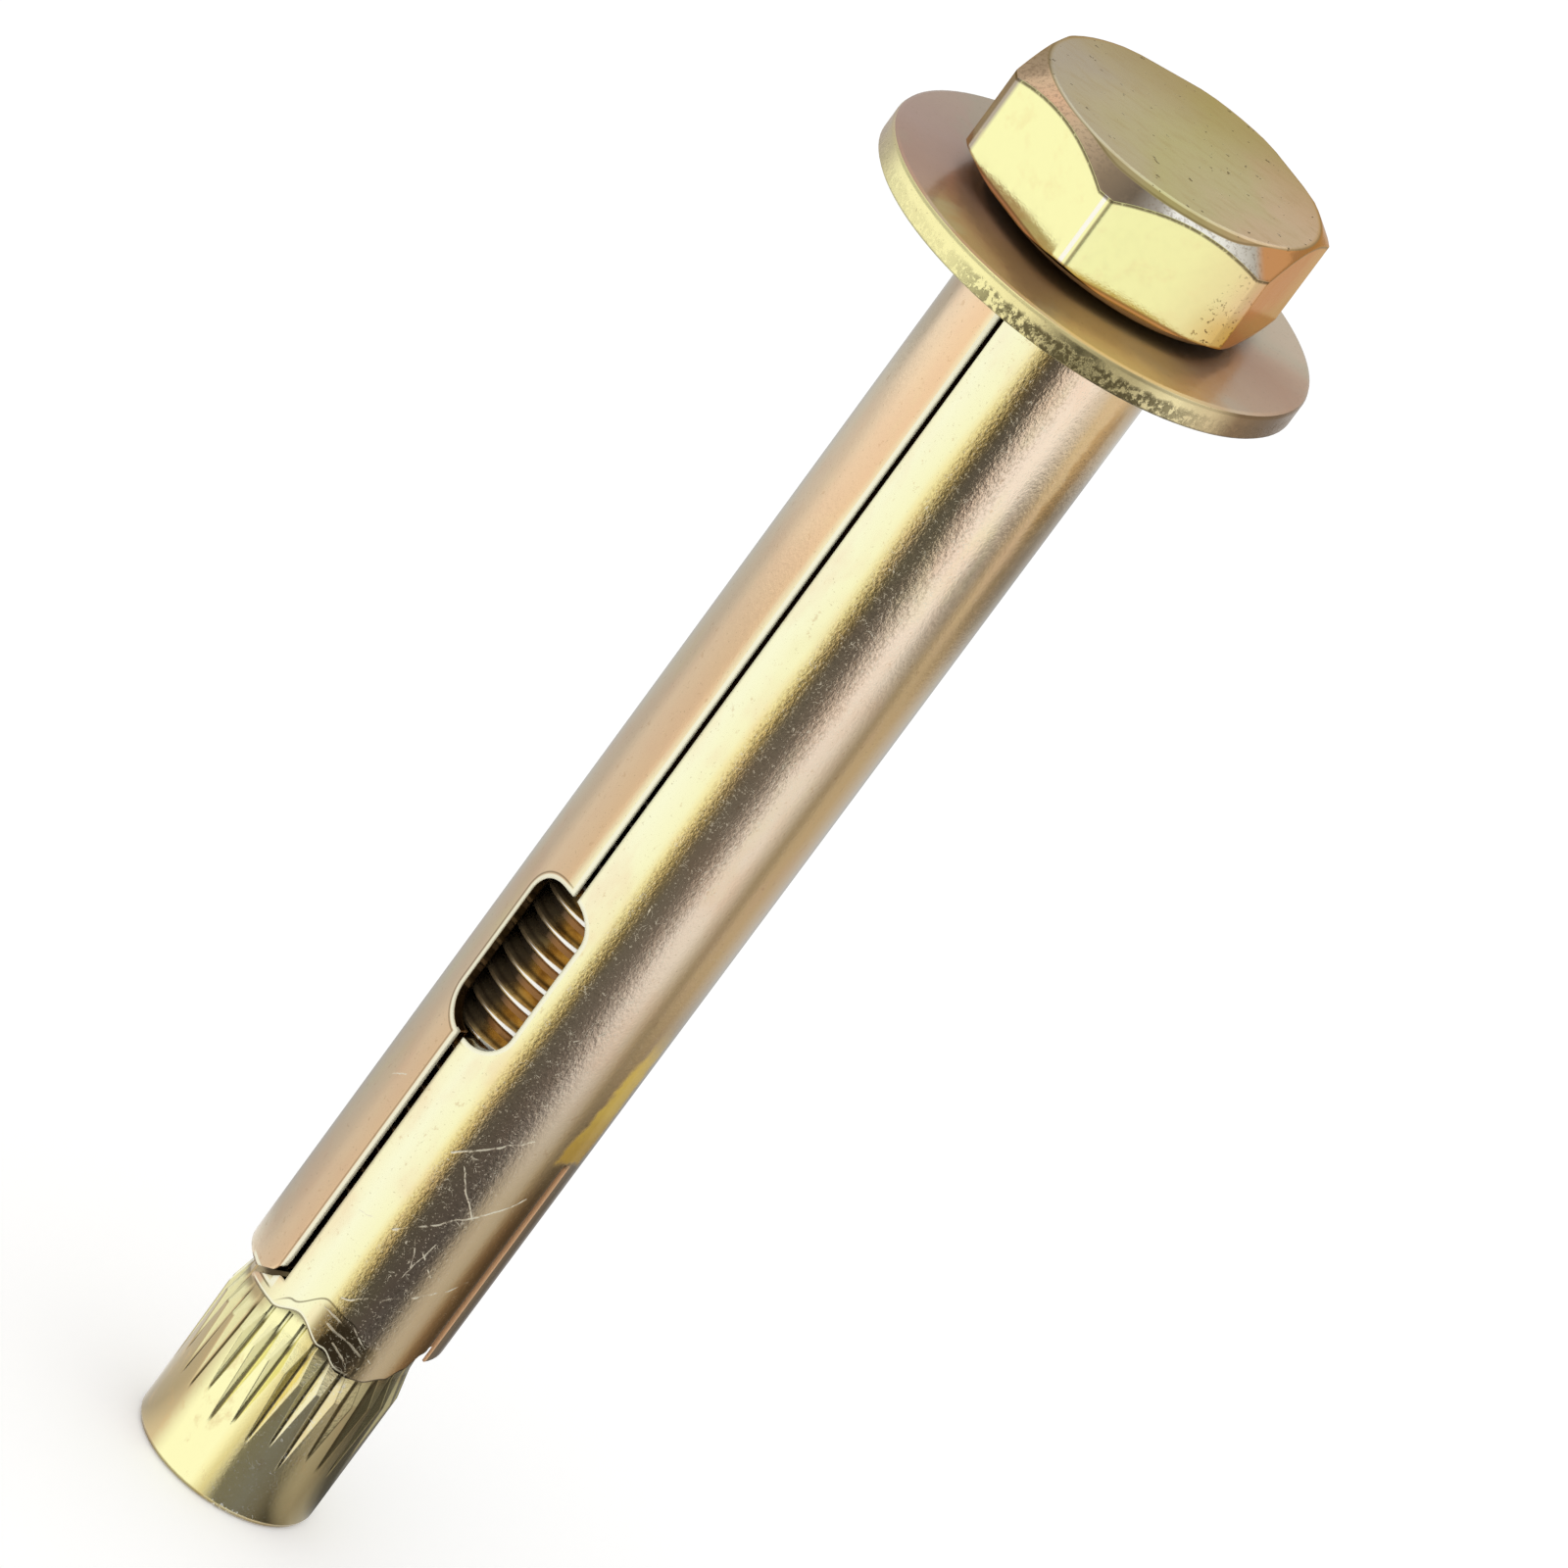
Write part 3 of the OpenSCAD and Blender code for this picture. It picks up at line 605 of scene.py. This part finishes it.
def threadZinc():
    paint = Paint("threadZinc")
    x, y, z = paint.parts()
    turn = paint.turn()
    pitch = thread["pitch"] / mm
    lap = (z - thread["from"] / mm) / pitch - (turn - 90.0) / 360.0
    off = abs(paint.maths("FRACT", lap + 0.5) - 0.5) * pitch
    width = paint.smooth(turn, -46, -8, 0.0, 0.13)
    crest = paint.fade(off - width, -0.03, 0.03) * paint.smooth(turn, -44, -35)
    rust = paint.noise(paint.stretched(0.6, 0.6, 1.6), 1.2, 3.0, 0.6)
    colour = paint.ramp(rust, [(0.30, (0.28, 0.17, 0.07)), (0.50, (0.58, 0.39, 0.14)), (0.68, (0.80, 0.60, 0.26))])
    # painted shade on the thread's left side, a painted dark line of shade beside each crest, and painted
    # highlights along the crests, widening to the right
    colour = paint.blend(paint.fade(turn, -44, -26) * 0.9, colour, tint(0.12, 0.09, 0.055))
    colour = paint.blend(within(paint, off, 0.22, 0.34, 0.06) * 0.7, colour, tint(0.05, 0.03, 0.015))
    colour = paint.blend(crest, colour, tint(1.0, 0.98, 0.92))
    rough = paint.smooth(rust, 0.3, 0.7, 0.18, 0.34)
    inShade = paint.smooth(turn, -42, -26, 0.40, 0.0)
    return paint.metal(colour, rough, zincBump(paint, 0.5, edge=0.3),
                       metallic=1.0 - paint.most(crest * 0.45, inShade))


# the bolt's thread: the solids hold only its core
thread = {
    "from": 18.25 * mm,
    "to": 48.25 * mm,
    "pitch": 1.5 * mm,
    "rootRadius": 4.10 * mm,
    "crestRadius": 4.93 * mm,
    "rootWidth": 1.30 * mm,
    "crestWidth": 0.22 * mm,
    "steps": 60,
}


def deselectAll():
    if bpy.context.mode != "OBJECT":
        bpy.ops.object.mode_set(mode="OBJECT")
    bpy.ops.object.select_all(action="DESELECT")


def makeThread():
    deselectAll()
    bpy.ops.mesh.primitive_plane_add(size=1.0, location=(0, 0, 0))
    ridge = bpy.context.object
    ridge.name = "boltThread"
    turns = (thread["to"] - thread["from"]) / thread["pitch"]
    atRoot, atCrest = thread["rootWidth"] / 2, thread["crestWidth"] / 2
    corners = [(thread["rootRadius"], -atRoot), (thread["crestRadius"], -atCrest),
               (thread["crestRadius"], atCrest), (thread["rootRadius"], atRoot)]
    # the plane's corners, taken in order round it, become the ridge's profile
    vertices = sorted(ridge.data.vertices, key=lambda vertex: math.atan2(vertex.co.y, vertex.co.x))
    for vertex, (radius, height) in zip(vertices, corners):
        vertex.co = (radius, 0.0, thread["from"] + height)
    bpy.ops.object.mode_set(mode="EDIT")
    bpy.ops.mesh.select_all(action="SELECT")
    bpy.ops.mesh.delete(type="ONLY_FACE")
    bpy.ops.object.mode_set(mode="OBJECT")
    screw = ridge.modifiers.new("screw", "SCREW")
    screw.axis = "Z"
    screw.angle = math.tau * turns
    screw.screw_offset = thread["pitch"] * turns
    screw.steps = screw.render_steps = int(thread["steps"] * turns)
    bpy.ops.object.modifier_apply(modifier="screw")
    bpy.ops.object.mode_set(mode="EDIT")
    bpy.ops.mesh.select_all(action="DESELECT")
    bpy.ops.mesh.select_non_manifold()
    bpy.ops.mesh.fill_holes(sides=4)
    bpy.ops.mesh.select_all(action="SELECT")
    bpy.ops.mesh.normals_make_consistent(inside=False)
    bpy.ops.object.mode_set(mode="OBJECT")
    bpy.ops.object.shade_smooth_by_angle(angle=math.radians(25))
    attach(ridge, "bolt")
    return ridge


def dress(piece, material):
    piece.data.materials.clear()
    piece.data.materials.append(material)


dress(makeThread(), threadZinc())
print("thread made")
dress(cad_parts["sleeve"], sleeveZinc())
dress(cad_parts["cone_nut"], nutZinc())
dress(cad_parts["washer"], washerZinc())
dress(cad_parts["hex_bolt"], boltZinc())
print("finishes on")

# the studio
studio = {
    "floorSize": 3.0,
    "floorColour": 1.0,
    "floorLift": 0.16,         # not for diffuse rays, so that the floor shows white and lights nothing
    "worldStrength": 0.86,
    "keyStrength": 0.9,
    "keySize": 0.9,
    "keyPlace": (-0.55, -0.75, 1.05),
    "keyAim": (0, 0, 0.04),
    "cardInner": 5.62 * mm,
    "cardOuter": 900 * mm,
    "cardHeight": 0.02 * mm,
    "wallRadius": 0.95,
    "wallTop": 0.62,
    "wallGrey": 0.56,
    # zones of the card: name, and the distances in mm between which it takes over from the one before
    "zones": [("nearest", 0, 0), ("near", 24, 34), ("middle", 55, 105), ("far", 150, 175),
              ("farthest", 198, 206)],
}
# brightness of the reflected surroundings by azimuth, in each zone: (degrees, strength)
surroundings = {
    "nearest": [(-180, 0.95), (-150, 1.0), (-120, 0.95), (-96, 0.78), (-80, 0.72), (-62, 0.94), (-55, 1.0),
                (-8, 1.0), (1, 0.72), (9, 0.10), (50, 0.09), (62, 0.40), (72, 0.52), (86, 0.46), (96, 0.26),
                (108, 0.11), (122, 0.09), (130, 0.22), (146, 0.16), (160, 0.50), (180, 0.95)],
    "near": [(-180, 0.45), (-150, 0.48), (-112, 0.58), (-96, 0.70), (-78, 0.74), (-62, 0.94), (-55, 1.0),
             (-8, 1.0), (1, 0.72), (9, 0.10), (50, 0.09), (62, 0.40), (72, 0.52), (86, 0.46), (96, 0.26),
             (108, 0.11), (122, 0.09), (130, 0.22), (146, 0.14), (160, 0.30), (180, 0.45)],
    "middle": [(-180, 0.5), (-160, 0.55), (-120, 0.56), (-104, 0.72), (-72, 0.74), (-60, 0.96), (-54, 1.0),
               (-6, 1.0), (1, 0.75), (9, 0.15), (34, 0.18), (44, 0.50), (54, 0.86), (72, 0.84), (84, 0.58),
               (94, 0.38), (99, 0.38), (106, 0.55), (150, 0.58), (168, 0.5), (180, 0.5)],
    "far": [(-180, 0.5), (-150, 0.6), (-112, 0.72), (-92, 0.94), (-66, 0.96), (-56, 1.0), (-8, 1.0), (1, 0.7),
            (9, 0.10), (32, 0.10), (41, 0.6), (47, 1.0), (66, 1.0), (75, 0.45), (82, 0.33), (90, 0.33), (103, 0.68),
            (116, 0.28), (138, 0.26), (152, 0.4), (180, 0.5)],
    "farthest": [(-180, 0.6), (-155, 0.5), (-128, 0.5), (-112, 0.95), (-90, 1.0), (-8, 1.0), (1, 0.7), (9, 0.10),
                 (27, 0.12), (33, 0.95), (66, 1.0), (80, 0.8), (92, 0.8), (110, 0.8), (126, 0.55), (150, 0.60),
                 (168, 0.66), (180, 0.6)],
}


# seen only in reflections
def glossyOnly(thing):
    thing.visible_camera = False
    thing.visible_diffuse = False
    thing.visible_shadow = False
    thing.visible_transmission = False
    thing.visible_volume_scatter = False


def makeFloor():
    deselectAll()
    bpy.ops.mesh.primitive_plane_add(size=studio["floorSize"], location=(0, 0, 0))
    floor = bpy.context.object
    floor.name = "floor"
    paint = Paint("floorPaint")
    grey = studio["floorColour"]
    diffuse = paint.node("BsdfDiffuse", {"Color": tint(grey, grey, grey)})
    # camera, glossy and transmitted rays see the lift, and the floor's own light keeps the shadow
    path = paint.node("LightPath")
    isCamera, isGlossy, isThrough = [Wire(paint, path.socket.node.outputs["Is " + kind + " Ray"])
                                     for kind in ("Camera", "Glossy", "Transmission")]
    seen = (isCamera + isGlossy + isThrough) * studio["floorLift"]
    lift = paint.node("Emission", {"Color": tint(1.0, 1.0, 1.0), "Strength": seen})
    dress(floor, paint.finish(paint.node("AddShader", {0: diffuse, 1: lift})))


# stands for the studio's flags and panels
def makeReflectorCard():
    deselectAll()
    bpy.ops.mesh.primitive_circle_add(vertices=128, radius=studio["cardInner"],
                                      location=(0, 0, studio["cardHeight"]))
    card = bpy.context.object
    card.name = "reflectorCard"
    bpy.ops.object.mode_set(mode="EDIT")
    bpy.ops.mesh.select_all(action="SELECT")
    bpy.ops.mesh.extrude_edges_move()
    grow = studio["cardOuter"] / studio["cardInner"]
    bpy.ops.transform.resize(value=(grow, grow, 1.0))
    bpy.ops.object.mode_set(mode="OBJECT")
    paint = Paint("cardPaint")
    x, y, z = paint.parts()
    reach = paint.hypotenuse(x, y)
    turn = paint.turn()
    shown = None
    for name, start, end in studio["zones"]:
        ring = paint.dial(turn, surroundings[name])
        shown = ring if shown is None else paint.blend(paint.smooth(reach, start, end), shown, ring)
    dress(card, paint.finish(paint.node("Emission", {"Color": shown, "Strength": 1.0})))
    glossyOnly(card)


def makeWall():
    deselectAll()
    bpy.ops.mesh.primitive_circle_add(vertices=96, radius=studio["wallRadius"], location=(0, 0, 0))
    wall = bpy.context.object
    wall.name = "greyWall"
    bpy.ops.object.mode_set(mode="EDIT")
    bpy.ops.mesh.select_all(action="SELECT")
    bpy.ops.mesh.extrude_edges_move(TRANSFORM_OT_translate={"value": (0, 0, studio["wallTop"])})
    bpy.ops.object.mode_set(mode="OBJECT")
    paint = Paint("wallPaint")
    grey = studio["wallGrey"]
    dress(wall, paint.finish(paint.node("Emission", {"Color": tint(grey, grey, grey), "Strength": 1.0})))
    glossyOnly(wall)


def makeLights():
    world = bpy.data.worlds.new("studioWorld")
    bpy.context.scene.world = world
    world.use_nodes = True
    background = world.node_tree.nodes["Background"]
    background.inputs["Color"].default_value = tint(1.0, 1.0, 1.0)
    background.inputs["Strength"].default_value = studio["worldStrength"]
    lamp = bpy.data.lights.new("keyLight", "AREA")
    lamp.size = studio["keySize"]
    lamp.energy = studio["keyStrength"]
    key = bpy.data.objects.new("keyLight", lamp)
    bpy.context.collection.objects.link(key)
    key.location = studio["keyPlace"]
    key.rotation_euler = (Vector(studio["keyAim"]) - key.location).to_track_quat("-Z", "Y").to_euler()


# fitted to the outlines in the photo
photoCamera = {
    "place": (2.618 * mm, -556.391 * mm, 286.449 * mm),
    "tilt": 67.11,
    "roll": 36.50,
    "sensor": 36.0,
    "lens": 264.04,
    "clip": 0.01,
}


def makeCamera():
    deselectAll()
    bpy.ops.object.camera_add(location=photoCamera["place"])
    camera = bpy.context.object
    camera.name = "photoCamera"
    camera.rotation_mode = "ZYX"
    camera.rotation_euler = (math.radians(photoCamera["tilt"]), 0.0, math.radians(photoCamera["roll"]))
    camera.data.sensor_width = photoCamera["sensor"]
    camera.data.lens = photoCamera["lens"]
    camera.data.clip_start = photoCamera["clip"]
    bpy.context.scene.camera = camera


makeFloor()
makeReflectorCard()
makeWall()
makeLights()
makeCamera()
bpy.context.scene.view_settings.view_transform = "Standard"
print("studio set")
